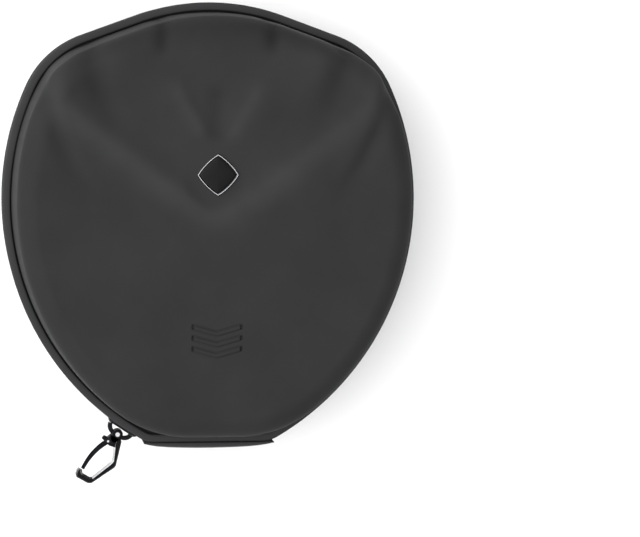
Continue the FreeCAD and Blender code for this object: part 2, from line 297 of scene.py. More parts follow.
def math_node(tree, operation, a, b):
    node = add_node(tree, "ShaderNodeMath", operation=operation)
    for index, value in enumerate((a, b)):
        if isinstance(value, (int, float)):
            node.inputs[index].default_value = value
        else:
            tree.links.new(value, node.inputs[index])
    return node.outputs[0]


def bump(tree, height, distance, strength):
    node = add_node(tree, "ShaderNodeBump", height=height, distance=distance, strength=strength)
    return node.outputs["Normal"]


def greys(level, darker, lighter):
    """A darker and a lighter shade of a faintly bluish grey."""
    return [(level * share, level * share, level * share * BLUE_CAST) for share in (darker, lighter)]


def coated_skin(name, level, roughness=0.65):
    """Smooth matt coated fabric: very fine grain and faint cloudy wear, its colour scaled by any painted
    light and shade stored on the piece.
    """
    material, tree, shader = new_material(name, roughness, specular=0.06)
    place = coordinates(tree)
    cloud = noise(tree, place, scale=35.0, detail=4.0)
    grain = noise(tree, place, scale=2600.0, detail=2.0)
    # Painted light and shade: the colour is scaled by one plus the painted highlights and shade stored at
    # each point
    painted_shading_fac = add_node(tree, "ShaderNodeAttribute", attribute_name="painted_light_and_shade").outputs["Fac"]
    colour_with_painted_light = add_node(tree, "ShaderNodeVectorMath", operation="SCALE",
                      vector=blend_colours(tree, cloud, *greys(level, 0.9, 1.08)),
                      scale=math_node(tree, "ADD", painted_shading_fac, 1.0))
    connect(tree, shader, base_color=colour_with_painted_light.outputs["Vector"],
            roughness=between(tree, cloud, roughness - 0.06, roughness + 0.07),
            normal=bump(tree, grain, distance=0.05 * MM, strength=0.35))
    return material


def woven(name, level, pitch):
    """Fine over-and-under weave, laid along the piece by its length and width."""
    material, tree, shader = new_material(name, 0.8, specular=0.15)
    split = add_node(tree, "ShaderNodeSeparateXYZ", vector=coordinates(tree, "UV"))
    turns = [math_node(tree, "MULTIPLY", split.outputs[way], math.tau / pitch) for way in ("X", "Y")]
    along, across = [math_node(tree, "SINE", turn, 0.0) for turn in turns]
    threads = math_node(tree, "MULTIPLY", along, across)
    height = math_node(tree, "MULTIPLY_ADD", threads, 0.5)
    fuzz = noise(tree, coordinates(tree), scale=900.0)
    mixed = math_node(tree, "ADD", height, math_node(tree, "MULTIPLY", fuzz, 0.6))
    connect(tree, shader, base_color=blend_colours(tree, mixed, *greys(level, 0.6, 1.3)),
            sheen_weight=0.05, normal=bump(tree, mixed, distance=0.12 * MM, strength=0.7))
    return material


def fleece(name, level):
    """Short brushed knit of the lining."""
    material, tree, shader = new_material(name, 0.95, specular=0.15)
    place = coordinates(tree)
    fibre = noise(tree, place, scale=1400.0, detail=5.0, roughness=0.7)
    nap = noise(tree, place, scale=60.0)
    tufts = math_node(tree, "MULTIPLY", fibre, math_node(tree, "ADD", nap, 0.5))
    connect(tree, shader, base_color=blend_colours(tree, tufts, *greys(level, 0.55, 1.35)),
            sheen_weight=0.12, sheen_roughness=0.6,
            normal=bump(tree, fibre, distance=0.25 * MM, strength=0.8))
    return material


def foam(name, level):
    """Cut edge of closed-cell foam."""
    material, tree, shader = new_material(name, 0.85, specular=0.25)
    cells = add_node(tree, "ShaderNodeTexVoronoi", scale=1800.0, vector=coordinates(tree))
    depth = cells.outputs["Distance"]
    connect(tree, shader, base_color=blend_colours(tree, depth, *greys(level, 0.7, 1.2)),
            normal=bump(tree, depth, distance=0.15 * MM, strength=0.6))
    return material


def metal(name, colour, roughness, wear=None):
    """Plated or painted metal with fine scratches; `wear` brightens the exposed edges."""
    material, tree, shader = new_material(name, roughness, metallic=1.0)
    place = coordinates(tree)
    smudge = noise(tree, place, scale=220.0, detail=4.0)
    brushed = add_node(tree, "ShaderNodeMapping", vector=place, scale=(400.0, 4000.0, 400.0))
    lines = noise(tree, brushed.outputs["Vector"], scale=1.0, detail=2.0)
    tone = blend_colours(tree, smudge, *([c * share for c in colour] for share in (0.85, 1.1)))
    if wear is not None:
        edge = add_node(tree, "ShaderNodeNewGeometry").outputs["Pointiness"]
        low, high = WORN_EDGE
        mask = add_node(tree, "ShaderNodeMapRange", value=edge, from_min=low, from_max=high)
        mix = add_node(tree, "ShaderNodeMix", data_type="RGBA", factor=mask.outputs["Result"],
                       a=tone, b=(*wear, 1))
        tone = mix.outputs["Result"]
    connect(tree, shader, base_color=tone,
            roughness=between(tree, smudge, roughness * 0.7, roughness * 1.4),
            normal=bump(tree, lines, distance=0.01 * MM, strength=0.4))
    return material


def moulded(name, level, roughness, specular=0.5):
    """Moulded plastic with a faint texture."""
    material, tree, shader = new_material(name, roughness, specular=specular)
    speck = noise(tree, coordinates(tree), scale=1500.0)
    connect(tree, shader, base_color=blend_colours(tree, speck, *greys(level, 0.85, 1.15)),
            roughness=between(tree, speck, roughness * 0.85, roughness * 1.2),
            normal=bump(tree, speck, distance=0.01 * MM, strength=0.3))
    return material


# How each material is made: its function and that function's values
LOOKS = {
    "shell_skin": (coated_skin, 0.0240),
    "binding_fabric": (coated_skin, 0.038),
    "hinge_fabric": (woven, 0.026, 0.9 * MM),
    "tape_fabric": (woven, 0.024, 0.8 * MM),
    "pocket_elastic": (woven, 0.03, 1.2 * MM),
    "pocket_mesh": (moulded, 0.02, 0.6),
    "lining_fleece": (fleece, 0.05),
    "eva_foam": (foam, 0.03),
    "zipper_coil": (moulded, 0.014, 0.35),
    "thread": (woven, 0.03, 0.5 * MM),
    # Very dark: painted shade for the shadowed groove where the skin meets the binding
    "seam": (woven, 0.010, 0.8 * MM),
    "badge_chrome": (metal, (0.55, 0.55, 0.57), 0.2),
    "badge_black": (moulded, 0.003, 0.1, 0.1),
    "nut_steel": (metal, (0.5, 0.5, 0.5), 0.3),
    "stop_metal": (metal, (0.02, 0.02, 0.021), 0.4),
    "slider_metal": (metal, (0.010, 0.010, 0.011), 0.35, (0.022, 0.022, 0.023)),
    "clip_metal": (metal, (0.05, 0.05, 0.052), 0.25, (0.25, 0.25, 0.26)),
    # Bright metal for the clip's chamfers: a painted reflection of the pale floor on one metal
    "clip_bright": (metal, (0.80, 0.80, 0.81), 0.16),
    "gate_metal": (metal, (0.008, 0.008, 0.009), 0.3),
    "pin_steel": (metal, (0.42, 0.42, 0.43), 0.22),
}
MATERIALS = {name: make(name, *values) for name, (make, *values) in LOOKS.items()}


def dress_cad_nodes():
    """Give every carried-over CAD node its own procedural material."""
    for entry in frame["record"]["subparts"]:
        node = bpy.data.objects.get(entry["node"])
        if node is not None:
            for slot in node.material_slots:
                slot.material = MATERIALS[entry["material_slot"]]


# ---------------------------------------------------------------- front relief

# Paths are (across, up) from the middle of the front, in millimetres; both sides mirror each other
BADGE_Y = 23.3
RIBBON = [(71, 86), (71, 70), (68.5, 54), (60, 46), (47, 36.5), (20, 16.2), (10, 9.5), (4, 6.2), (0, 5.5)]
RIBBON_VALLEY = [(57, 90), (56, 74), (52, 61), (46, 49), (38, 41)]
OUTER_CREASE = [(77, 78), (75, 60), (70, 43), (63, 29), (54, 16), (47, 9)]
FUNNEL = [(21, 67), (14, 53.5), (6.5, 41), (4, 36)]
FUNNEL_FLOOR = [(0, 64), (0, 36)]
PLEAT = [(24.5, 94), (24, 73)]

# Folds are (path, height, width inside, width outside, fade in, fade out), the fades as shares of the
# path; swellings and hollows are (across, up, height, radius)
FOLDS = [
    (RIBBON, 1.9, 7.0, 45.0, 0.2, 0.0),
    (RIBBON_VALLEY, -1.9, 6.0, 5.0, 0.0, 0.5),
    (OUTER_CREASE, -2.0, 2.5, 5.0, 0.0, 0.5),
    (FUNNEL, 1.1, 3.5, 12.0, 0.35, 0.2),
    (FUNNEL_FLOOR, -1.2, 5.0, 5.0, 0.3, 0.2),
    (PLEAT, -1.6, 2.8, 2.8, 0.0, 0.4),
]
SWELLINGS = [(0, 96, -1.2, 14), (45, 71, 0.9, 10), (0, 12, -0.5, 6)]

# The same for the painted light and shade in the skin's colour: how much lighter it is painted along the fold
# crests and swellings, where light falls, or darker in the creases, where shade falls
PAINTED_FOLD_SHADING = [
    (RIBBON, 0.30, 4.5, 6.5, 0.1, 0.0),
    (RIBBON_VALLEY, -0.20, 5.0, 5.0, 0.0, 0.5),
    (OUTER_CREASE, -0.12, 2.0, 4.0, 0.0, 0.6),
    (FUNNEL, 0.22, 2.5, 4.0, 0.3, 0.25),
    (FUNNEL_FLOOR, -0.14, 4.0, 4.0, 0.2, 0.2),
    (PLEAT, -0.28, 3.0, 3.0, 0.0, 0.4),
]
PAINTED_SWELLING_LIGHT = [(45, 71, 0.08, 9), (0, 50, 0.10, 38)]
# Painted shade that darkens the skin towards the crown: how dark, from how high up, and over what distance
CROWN_PAINTED_SHADE = 0.18
CROWN_PAINTED_SHADE_FROM = 74
CROWN_PAINTED_SHADE_OVER = 14

FIELD_STEP = 0.75
FIELD_HALF = 110.0
FIELD_BLUR = 2
BADGE_SEAT = 8.5
BADGE_SEAT_FADE = 8.0


def smooth(t):
    t = np.clip(t, 0, 1)
    return t * t * (3 - 2 * t)


def nearest(x, y, path):
    """Signed distance to a path, and how far along it the nearest point is."""
    best = np.full(x.shape, np.inf)
    signed = np.zeros(x.shape)
    along = np.zeros(x.shape)
    lengths = [math.dist(a, b) for a, b in zip(path, path[1:])]
    done = 0.0
    for (ax, ay), (bx, by), length in zip(path, path[1:], lengths):
        dx, dy = (bx - ax) / length, (by - ay) / length
        t = np.clip((x - ax) * dx + (y - ay) * dy, 0, length)
        gap = np.hypot(x - ax - t * dx, y - ay - t * dy)
        side = np.sign(dx * (y - ay) - dy * (x - ax))
        closer = gap < best
        best = np.where(closer, gap, best)
        signed = np.where(closer, gap * side, signed)
        along = np.where(closer, (done + t) / sum(lengths), along)
        done += length
    return signed, along


def fold(x, y, path, inner, outer, fade_in, fade_out):
    """Soft fold of height 1 along a path, with its own width on each side; its ends can fade."""
    signed, along = nearest(x, y, path)
    width = np.where(signed < 0, inner, outer)
    height = np.exp(-((signed / width) ** 2))
    if fade_in:
        height = height * smooth(along / fade_in)
    if fade_out:
        height = height * smooth((1 - along) / fade_out)
    return height


def shaped(x, y, folds, swellings):
    """Sum of folds and round swellings, the same on both sides of the middle."""
    x = np.abs(x)
    total = np.zeros(x.shape)
    for path, height, inner, outer, fade_in, fade_out in folds:
        total += height * fold(x, y, path, inner, outer, fade_in, fade_out)
    for across, up, height, radius in swellings:
        total += height * np.exp(-((x - across) ** 2 + (y - up) ** 2) / radius ** 2)
    return total


def soften(field, reach):
    """Blur a height field by `reach` grid steps both ways."""
    taps = np.arange(-3 * reach, 3 * reach + 1)
    weights = np.exp(-((taps / reach) ** 2) / 2)
    weights /= weights.sum()
    for axis in (0, 1):
        field = np.apply_along_axis(lambda line: np.convolve(line, weights, mode="same"), axis, field)
    return field


def moulded_field():
    """Height of the front's moulded folds over a square grid, in millimetres."""
    line = np.arange(-FIELD_HALF, FIELD_HALF + FIELD_STEP, FIELD_STEP)
    x, y = np.meshgrid(line, line)
    return soften(shaped(x, y, FOLDS, SWELLINGS), FIELD_BLUR)


def relief(x, y, field):
    """Look up the moulded height; it fades out under the badge, which sits on a flat."""
    column, row = (x + FIELD_HALF) / FIELD_STEP, (y + FIELD_HALF) / FIELD_STEP
    c, r = column.astype(int), row.astype(int)
    u, v = column - c, row - r
    low = field[r, c] * (1 - u) + field[r, c + 1] * u
    high = field[r + 1, c] * (1 - u) + field[r + 1, c + 1] * u
    seat = smooth((np.hypot(x, y - BADGE_Y) - BADGE_SEAT) / BADGE_SEAT_FADE)
    return (low * (1 - v) + high * v) * seat


def painted_light_and_shade(x, y):
    """Painted light and shade in the skin's colour: lighter on the fold crests and swellings, darker in the
    creases, and painted shade towards the crown.
    """
    crown = CROWN_PAINTED_SHADE * smooth((y - CROWN_PAINTED_SHADE_FROM) / CROWN_PAINTED_SHADE_OVER)
    return shaped(x, y, PAINTED_FOLD_SHADING, PAINTED_SWELLING_LIGHT) - crown


CHEVRON_ROWS = (-43.2, -48.0, -52.8)
CHEVRON_HALF = 10.6
CHEVRON_DROP = 3.1
CHEVRON_TALL = 2.2
CHEVRON_BLUNT = 0.5
CHEVRON_RISE = 0.45
CHEVRON_END_FADE = 0.7
GROOVE_AT = 1.1
GROOVE_WIDTH = 0.28
GROOVE_UPPER = 0.40
GROOVE_LOWER = 0.30
SLOT_DEPTH = 1.1
SLOT_WIDTH = 0.55
SLOT_HEIGHT = 0.9
CHEVRON_ZONE = (13.0, -60.0, -40.0)
CHEVRON_CUTS = 4


def chevrons(x, y):
    """Height of three pressed bands in a V, rounded across, with grooved edges and slotted ends."""
    x = math.sqrt(x * x + CHEVRON_BLUNT)
    height = 0.0
    for row in CHEVRON_ROWS:
        middle = row - CHEVRON_DROP * (1 - x / CHEVRON_HALF)
        across = (y - middle) / (CHEVRON_TALL / 2)
        inside = smooth((CHEVRON_HALF - x) / CHEVRON_END_FADE)
        height += inside * CHEVRON_RISE * np.clip(1 - across ** 2, 0, 1)
        for edge, depth in ((GROOVE_AT, GROOVE_UPPER), (-GROOVE_AT, GROOVE_LOWER)):
            height -= inside * depth * np.exp(-(((across - edge) / GROOVE_WIDTH) ** 2))
        end = ((x - CHEVRON_HALF) / SLOT_WIDTH) ** 4
        height -= SLOT_DEPTH * np.exp(-end - (across / SLOT_HEIGHT) ** 4)
    return height


# ---------------------------------------------------------------- moulded shells

WALL_STEPS = 8
ROUND_STEPS = 24
CAP_STEPS = 64
AROUND = 400
CROWN_RISE = 0.5 * MM
WALL_RELIEF = 0.25
FULL_RELIEF_TILT = 0.6
FACE_FROM = 0.9
FLANGE_OUTER = 2.6 * MM
FLANGE_LOW = 8.0 * MM
FLANGE_HIGH = 9.2 * MM
FLANGE_ROUND = 0.2 * MM


def profile(depth, angle):
    """Inset and height of the shell `depth` under the skin where its edge tilts by `angle`.

    The wall rises upright and leans in a little, then rounds over to the flat face. The last two
    values are the surface's direction, outwards and upwards."""
    reach = face_z - parting_z - RIM_GAP
    out, up = math.cos(angle), math.sin(angle)
    wall_height = reach - EDGE_ROUND * (1 - math.sin(WALL_LEAN))
    wall_inset = wall_height * math.tan(WALL_LEAN) / 2
    if angle < WALL_LEAN:
        share = math.tan(angle) / math.tan(WALL_LEAN)
        inset, height = wall_inset * share ** 2, wall_height * share
    else:
        inset = wall_inset + EDGE_ROUND * (math.cos(WALL_LEAN) - out)
        height = reach - EDGE_ROUND * (1 - up)
    return inset + depth * out, height - depth * up, out, up


def edge_angles():
    """Tilts of the rings up the wall and over the rounded edge."""
    wall = [WALL_LEAN * step / WALL_STEPS for step in range(WALL_STEPS)]
    turn = math.pi / 2 - WALL_LEAN
    return wall + [WALL_LEAN + turn * step / ROUND_STEPS for step in range(ROUND_STEPS + 1)]


def dome_rings(depth, side, field, rise):
    """Rings of points from the rim to the middle of a shell, as an array (ring, around, xyz)."""
    points, normals, _ = outline(AROUND, shell=True)
    base = points - normals * (SHELL_INSET + depth)
    half_width = base[:, 0].max()
    rings = []
    for angle in edge_angles():
        inset, height, out, up = profile(depth, angle)
        rings.append((1 - (inset - depth) / half_width, height, out, up))
    cap_scale, cap_height = rings[-1][0], rings[-1][1]
    for step in range(1, CAP_STEPS):
        share = 1 - step / CAP_STEPS
        rings.append((cap_scale * share, cap_height + rise * smooth(1 - share), 0.0, 1.0))
    grid = []
    for scale, height, out, up in rings:
        xy = base * scale
        lift = np.zeros(AROUND)
        if field is not None:
            fade = WALL_RELIEF + (1 - WALL_RELIEF) * smooth(up / FULL_RELIEF_TILT)
            lift = relief(xy[:, 0] / MM, xy[:, 1] / MM, field) * MM * fade
        xy = xy + normals * (lift * out)[:, None]
        grid.append(np.column_stack([xy, parting_z + side * (RIM_GAP + height + lift * up)]))
    return np.array(grid)


def shell_piece(name, depths, side, fields, rise, look, replaced):
    """Closed shell between two depths, from rim to middle; either face can carry the relief."""
    outer = dome_rings(depths[0], side, fields[0], rise)
    inner = dome_rings(depths[1], side, fields[1], rise)
    rings = outer.shape[0]
    verts = np.concatenate([outer[::-1], inner]).reshape(-1, 3).tolist()
    faces = grid_faces(2 * rings, AROUND)
    for ring, level in ((0, outer), (2 * rings - 1, inner)):
        verts.append(level[-1].mean(axis=0).tolist())
        start = ring * AROUND
        faces += [(start + c, start + (c + 1) % AROUND, len(verts) - 1) for c in range(AROUND)]
    piece = make_mesh(name, verts, faces, look, "lid" if side > 0 else "back")
    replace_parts(piece, replaced)
    return piece


def press_chevrons(piece):
    """Refine the skin where the chevrons are and press them into it."""
    half_x, low_y, high_y = CHEVRON_ZONE
    top = (parting_z + (face_z - parting_z) * FACE_FROM) / MM
    bm = bmesh.new()
    bm.from_mesh(piece.data)
    zone = []
    for face in bm.faces:
        middle = face.calc_center_median() / MM
        outside = middle.z > top and face.normal.z > 0
        if outside and abs(middle.x) < half_x and low_y < middle.y < high_y:
            zone.append(face)
    edges = list({edge for face in zone for edge in face.edges})
    cut = bmesh.ops.subdivide_edges(bm, edges=edges, cuts=CHEVRON_CUTS, use_grid_fill=True)
    pressed = {v for face in zone if face.is_valid for v in face.verts}
    pressed |= {item for item in cut["geom"] if isinstance(item, bmesh.types.BMVert)}
    for vert in pressed:
        vert.co.z += chevrons(vert.co.x / MM, vert.co.y / MM) * MM
    bm.to_mesh(piece.data)
    bm.free()


def paint_fold_shading(piece):
    """Store the painted light and shade at each point of the skin, for its material to show."""
    mesh = piece.data
    places = np.empty(3 * len(mesh.vertices))
    mesh.vertices.foreach_get("co", places)
    places = places.reshape(-1, 3) / MM
    attribute = mesh.attributes.new("painted_light_and_shade", "FLOAT", "POINT")
    attribute.data.foreach_set("value", painted_light_and_shade(places[:, 0], places[:, 1]))


def sewn_flange(half, side, body):
    """The flat edge of the skin that runs into the rim binding, in a very dark look that paints the shade of
    the groove there.
    """
    rim, rim_normals, _ = outline(AROUND)
    shell, shell_normals, _ = outline(AROUND, shell=True)
    outer = rim - rim_normals * FLANGE_OUTER
    inner = shell - shell_normals * (SHELL_INSET + SKIN[1])
    corner_loops = ((outer, FLANGE_LOW), (outer, FLANGE_HIGH), (inner, FLANGE_HIGH), (inner, FLANGE_LOW))
    verts = [(x, y, parting_z + side * height) for loop, height in corner_loops for x, y in loop]
    faces = grid_faces(4, AROUND, wrap_rows=True)
    piece = make_mesh(half + "_sewn_edge", verts, faces, "seam", body)
    bevel(piece, FLANGE_ROUND)


def build_shells():
    field = moulded_field()
    plain = (None, None)
    skin = shell_piece("front_skin_moulded", SKIN, 1, (field, field), CROWN_RISE,
                       "shell_skin", "front_outer_skin")
    press_chevrons(skin)
    paint_fold_shading(skin)
    shell_piece("back_skin_moulded", SKIN, -1, plain, 0.0, "shell_skin", "back_outer_skin")
    shell_piece("front_foam_core", FOAM, 1, (field, None), 0.0, "eva_foam", "front_foam_shell")
    shell_piece("back_foam_core", FOAM, -1, plain, 0.0, "eva_foam", "back_foam_shell")
    for side, half, body in HALVES:
        lining = half + "_lining"
        shell_piece(half + "_fleece_lining", LINING, side, plain, 0.0, "lining_fleece", lining)
        sewn_flange(half, side, body)


# ---------------------------------------------------------------- rim, tape and coil

def sweep(name, section, count, look, body):
    """Sweep a closed section of (inset, height above the parting plane) points round the rim."""
    points, normals, length = outline(count)
    verts, uvs = [], []
    across = 0.0
    for index, (inset, height) in enumerate(section):
        if index:
            across += math.dist(section[index - 1], (inset, height))
        for k in range(count):
            x, y = points[k] - normals[k] * inset
            verts.append((x, y, parting_z + height))
            uvs.append((length * k / count, across))
    faces = grid_faces(len(section), count, wrap_rows=True)
    return make_mesh(name, verts, faces, look, body, uvs=uvs)


def rounded_section(insets, heights, power, steps):
    """Closed super-ellipse section between two insets and two heights."""
    section = []
    for point in circle(steps):
        corner = []
        for share, (low, high) in zip(point, (insets, heights)):
            bulge = math.copysign(abs(share) ** (2 / power), share)
            corner.append((low + high) / 2 + (high - low) / 2 * bulge)
        section.append(tuple(corner))
    return section


TAPE_INSET = (1.8 * MM, 2.2 * MM)

# Pieces swept round the rim: name, CAD node, look, insets, squareness, steps of the section and round
SWEPT = [
    ("rolled_binding", "rim_binding", "binding_fabric", (0.0, 3.7 * MM), 4.5, 28, 960),
    ("woven_tape", "zipper_tape", "tape_fabric", TAPE_INSET, 8.0, 16, 720),
]
COIL_INSET = 2.0 * MM
COIL_PITCH = 1.5 * MM
COIL_WIRE = 0.3 * MM
COIL_WIDE = 0.42 * MM
COIL_TALL = 0.70 * MM
COIL_HEIGHT = 1.12 * MM
COIL_SAMPLES = 2400
COIL_PER_TURN = 10
COIL_SIDES = 6
ZIP_END_X = 34.3 * MM


def on_zip(point):
    """True along the part of the rim that the zip runs round."""
    return abs(point[0]) > ZIP_END_X or point[1] > 0


def coil(name, side, body):
    """One half of the zip: a flattened nylon coil, half a turn out of step with the other half."""
    points, normals, length = outline(COIL_SAMPLES)
    keep = [k for k in range(COIL_SAMPLES) if on_zip(points[k])]
    turn = next(i for i in range(1, len(keep)) if keep[i] != keep[i - 1] + 1)
    keep = keep[turn:] + keep[:turn]
    turns = int(length * len(keep) / COIL_SAMPLES / COIL_PITCH)
    count = turns * COIL_PER_TURN
    half_turn = 0.5 if side > 0 else 0.0
    path = []
    for n in range(count):
        exact = n / count * len(keep)
        share = exact - int(exact)
        before = keep[int(exact)]
        after = keep[min(len(keep) - 1, int(exact) + 1)]
        phase = math.tau * (n / COIL_PER_TURN + half_turn)
        inset = COIL_INSET + COIL_WIDE * math.cos(phase)
        xy = points[before] * (1 - share) + points[after] * share - normals[before] * inset
        path.append((xy[0], xy[1], parting_z + side * (COIL_HEIGHT + COIL_TALL * math.sin(phase))))
    return tube(name, np.array(path), COIL_WIRE, COIL_SIDES, "zipper_coil", body)


def tube(name, path, radius, sides, look, body):
    """Round tube along an open path."""
    tangent = np.gradient(path, axis=0)
    tangent /= np.linalg.norm(tangent, axis=1)[:, None]
    first = np.cross(tangent, UP)
    first /= np.linalg.norm(first, axis=1)[:, None]
    second = np.cross(first, tangent)
    ring = circle(sides, radius)
    verts = [place + c * a + s * b for place, a, b in zip(path, first, second) for c, s in ring]
    return make_mesh(name, verts, stack_faces(len(path), sides), look, body)


STITCH_THICK = 0.22 * MM
STITCH_LIFT = 0.12 * MM
STITCH_REACH = 0.38
STITCH_TIP = 0.05
STITCH_SIDES = 6
STITCH_RINGS = 5
STITCH_SAMPLES = 1600

# Rows of stitches, by name: distance from the parting plane, and pitch
STITCH_ROWS = {"coil": (2.6 * MM, 1.5 * MM), "tape": (5.6 * MM, 3.0 * MM)}


def stitches(name, height, pitch, body):
    """Row of separate thread stitches along the zip."""
    points, normals, length = outline(STITCH_SAMPLES)
    count = int(length / pitch)
    ring = circle(STITCH_SIDES)
    verts, faces = [], []
    for n in range(count):
        k = int(n / count * STITCH_SAMPLES)
        if not on_zip(points[k]):
            continue
        out = np.array([*normals[k], 0.0])
        tangent = np.cross(out, UP)
        middle = np.array([*(points[k] - normals[k] * TAPE_INSET[0]), parting_z + height])
        faces += stack_faces(STITCH_RINGS, STITCH_SIDES, start=len(verts))
        for r in range(STITCH_RINGS):
            t = 2 * r / (STITCH_RINGS - 1) - 1
            thick = STITCH_THICK * math.sqrt(max(STITCH_TIP, 1 - t * t))
            centre = middle + tangent * t * pitch * STITCH_REACH + out * STITCH_LIFT * (1 - t * t)
            verts += [centre + (c * out + s * UP) * thick for c, s in ring]
    return make_mesh(name, verts, faces, "thread", body)


def build_rim():
    for side, half, body in HALVES:
        for name, node, look, insets, power, steps, around in SWEPT:
            heights = [corner.z - parting_z for corner in corners(half + "_" + node)]
            section = rounded_section(insets, heights, power, steps)
            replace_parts(sweep(half + "_" + name, section, around, look, body), half + "_" + node)
        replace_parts(coil(half + "_zip_coil", side, body), half + "_zipper_teeth")
        for row, (height, pitch) in STITCH_ROWS.items():
            stitches(half + "_" + row + "_stitching", side * height, pitch, body)


# ---------------------------------------------------------------- hinge strip

HINGE_COLUMNS = 61
HINGE_ROWS = 49
HINGE_FOLD = 3.5 * MM
END_THINNING = 0.42
FOLD_DEPTH = 0.25
SEAM_DEPTH = 0.16
SEAM_FROM_EDGE = 0.2
LINE_WIDTH = 0.05
END_SQUARE = 10
EDGE_SQUARE = 8
THINNEST = 0.12
PUFF_SCALE = 20.0
PUFF_PRESSURE = 4.0
PUFF_FRAMES = 20
PUFF_LIMIT = 0.5 * MM


def hinge_height(u, v, aspect):
    """Share of the strip's thickness across it (u) and over the fold (v), each from -1 to 1."""
    edge = (1 - abs(u) ** END_SQUARE) * (1 - abs(v) ** EDGE_SQUARE)
    thinning = 1 - END_THINNING * u * u
    crease = FOLD_DEPTH * math.exp(-((v / LINE_WIDTH) ** 2))
    from_seam = max((abs(u) - 1) * aspect, abs(v) - 1) + SEAM_FROM_EDGE
    seam = SEAM_DEPTH * math.exp(-((from_seam / LINE_WIDTH) ** 2))
    return max(THINNEST, thinning * math.sqrt(edge) - crease - seam)


def puff(piece, held):
    """Swell a sewn piece a little with the cloth solver; the `held` vertices are stitched down."""
    vertices = piece.data.vertices
    before = [vert.co.copy() for vert in vertices]
    for vert in vertices:
        vert.co *= PUFF_SCALE
    group = piece.vertex_groups.new(name="stitched")
    group.add(held, 1.0, "REPLACE")
    cloth = piece.modifiers.new("cloth", "CLOTH")
    cloth.settings.vertex_group_mass = group.name
    cloth.settings.use_pressure = True
    cloth.settings.uniform_pressure_force = PUFF_PRESSURE
    cloth.settings.effector_weights.gravity = 0.0
    cloth.point_cache.frame_end = PUFF_FRAMES
    for step in range(1, PUFF_FRAMES + 1):
        bpy.context.scene.frame_set(step)
    graph = bpy.context.evaluated_depsgraph_get()
    after = [vert.co / PUFF_SCALE for vert in piece.evaluated_get(graph).data.vertices]
    piece.modifiers.clear()
    piece.vertex_groups.clear()
    for vert, start, end in zip(vertices, before, after):
        move = end - start
        if move.length > PUFF_LIMIT:
            move = move.normalized() * PUFF_LIMIT
        vert.co = start + move
    bpy.context.scene.frame_set(1)


def build_hinge():
    """One padded fabric strip across the fold, thinner towards its ends, with a stitched border."""
    low, high = corners("back_hinge_leaf")[0], corners("front_hinge_leaf")[1]
    half_x, half_z = (high.x - low.x) / 2, (high.z - low.z) / 2
    aspect = half_x / half_z
    verts, uvs, held = [], [], []
    for layer in (0, 1):
        for v in np.linspace(-1, 1, HINGE_ROWS):
            for u in np.linspace(-1, 1, HINGE_COLUMNS):
                rise = layer * (high.y - low.y) * hinge_height(u, v, aspect)
                between_ends = abs(u) < 1 - SEAM_FROM_EDGE / aspect
                panel = between_ends and LINE_WIDTH < abs(v) < 1 - SEAM_FROM_EDGE
                if layer == 0 or not panel:
                    held.append(len(verts))
                verts.append((u * half_x, high.y - rise, (low.z + high.z) / 2 + v * half_z))
                uvs.append((u * half_x, v * half_z))
    per_layer = HINGE_COLUMNS * HINGE_ROWS
    faces = []
    for start in (0, per_layer):
        faces += grid_faces(HINGE_ROWS, HINGE_COLUMNS, wrap_columns=False, start=start)
    last_row = per_layer - HINGE_COLUMNS
    border = list(range(HINGE_COLUMNS)) + list(range(2 * HINGE_COLUMNS - 1, per_layer, HINGE_COLUMNS))
    border += reversed(range(last_row, per_layer - 1))
    border += reversed(range(HINGE_COLUMNS, last_row, HINGE_COLUMNS))
    for a, b in zip(border, border[1:] + border[:1]):
        faces.append((a, b, b + per_layer, a + per_layer))
    strip = make_mesh("hinge_strip", verts, faces, "hinge_fabric", None, uvs=uvs)
    puff(strip, held)
    start, end = [(0, low.y, parting_z + side * HINGE_FOLD) for side in (-1, 1)]
    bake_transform(strip)
    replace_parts(strip, "front_hinge_leaf", "back_hinge_leaf")


# ---------------------------------------------------------------- badge

DIAMOND_BOW = 0.12
DIAMOND_STEPS = 8
BEZEL_WIDTH = 1.0 * MM
BEZEL_SLOPE = 0.45 * MM
BEZEL_FLAT = (0.4 * MM, 0.6 * MM)
BADGE_SINK = 0.3 * MM
INSERT_GAP = 0.1 * MM
INSERT_EDGE = 0.3 * MM
INSERT_CROWN = 0.25 * MM
INSERT_SHARES = (0.97, 0.85, 0.6, 0.3, 0.05)


def diamond_loop(half):
    """Diamond with slightly bowed sides and crisp corners."""
    points = []
    tips = circle(4, half)
    for (ax, ay), (bx, by) in zip(tips, tips[1:] + tips[:1]):
        for n in range(DIAMOND_STEPS):
            t = n / DIAMOND_STEPS
            bow = 1 + DIAMOND_BOW * 4 * t * (1 - t)
            points.append(((ax * (1 - t) + bx * t) * bow, (ay * (1 - t) + by * t) * bow))
    return points


def diamond_stack(name, levels, centre, look, solid):
    """Skin a list of (half width, z) levels; a solid one is capped, a frame closes on itself."""
    verts = [(centre.x + x, centre.y + y, z) for half, z in levels for x, y in diamond_loop(half)]
    count = 4 * DIAMOND_STEPS
    if solid:
        faces = stack_faces(len(levels), count)
    else:
        faces = grid_faces(len(levels), count, wrap_rows=True)
    return make_mesh(name, verts, faces, look, "lid")


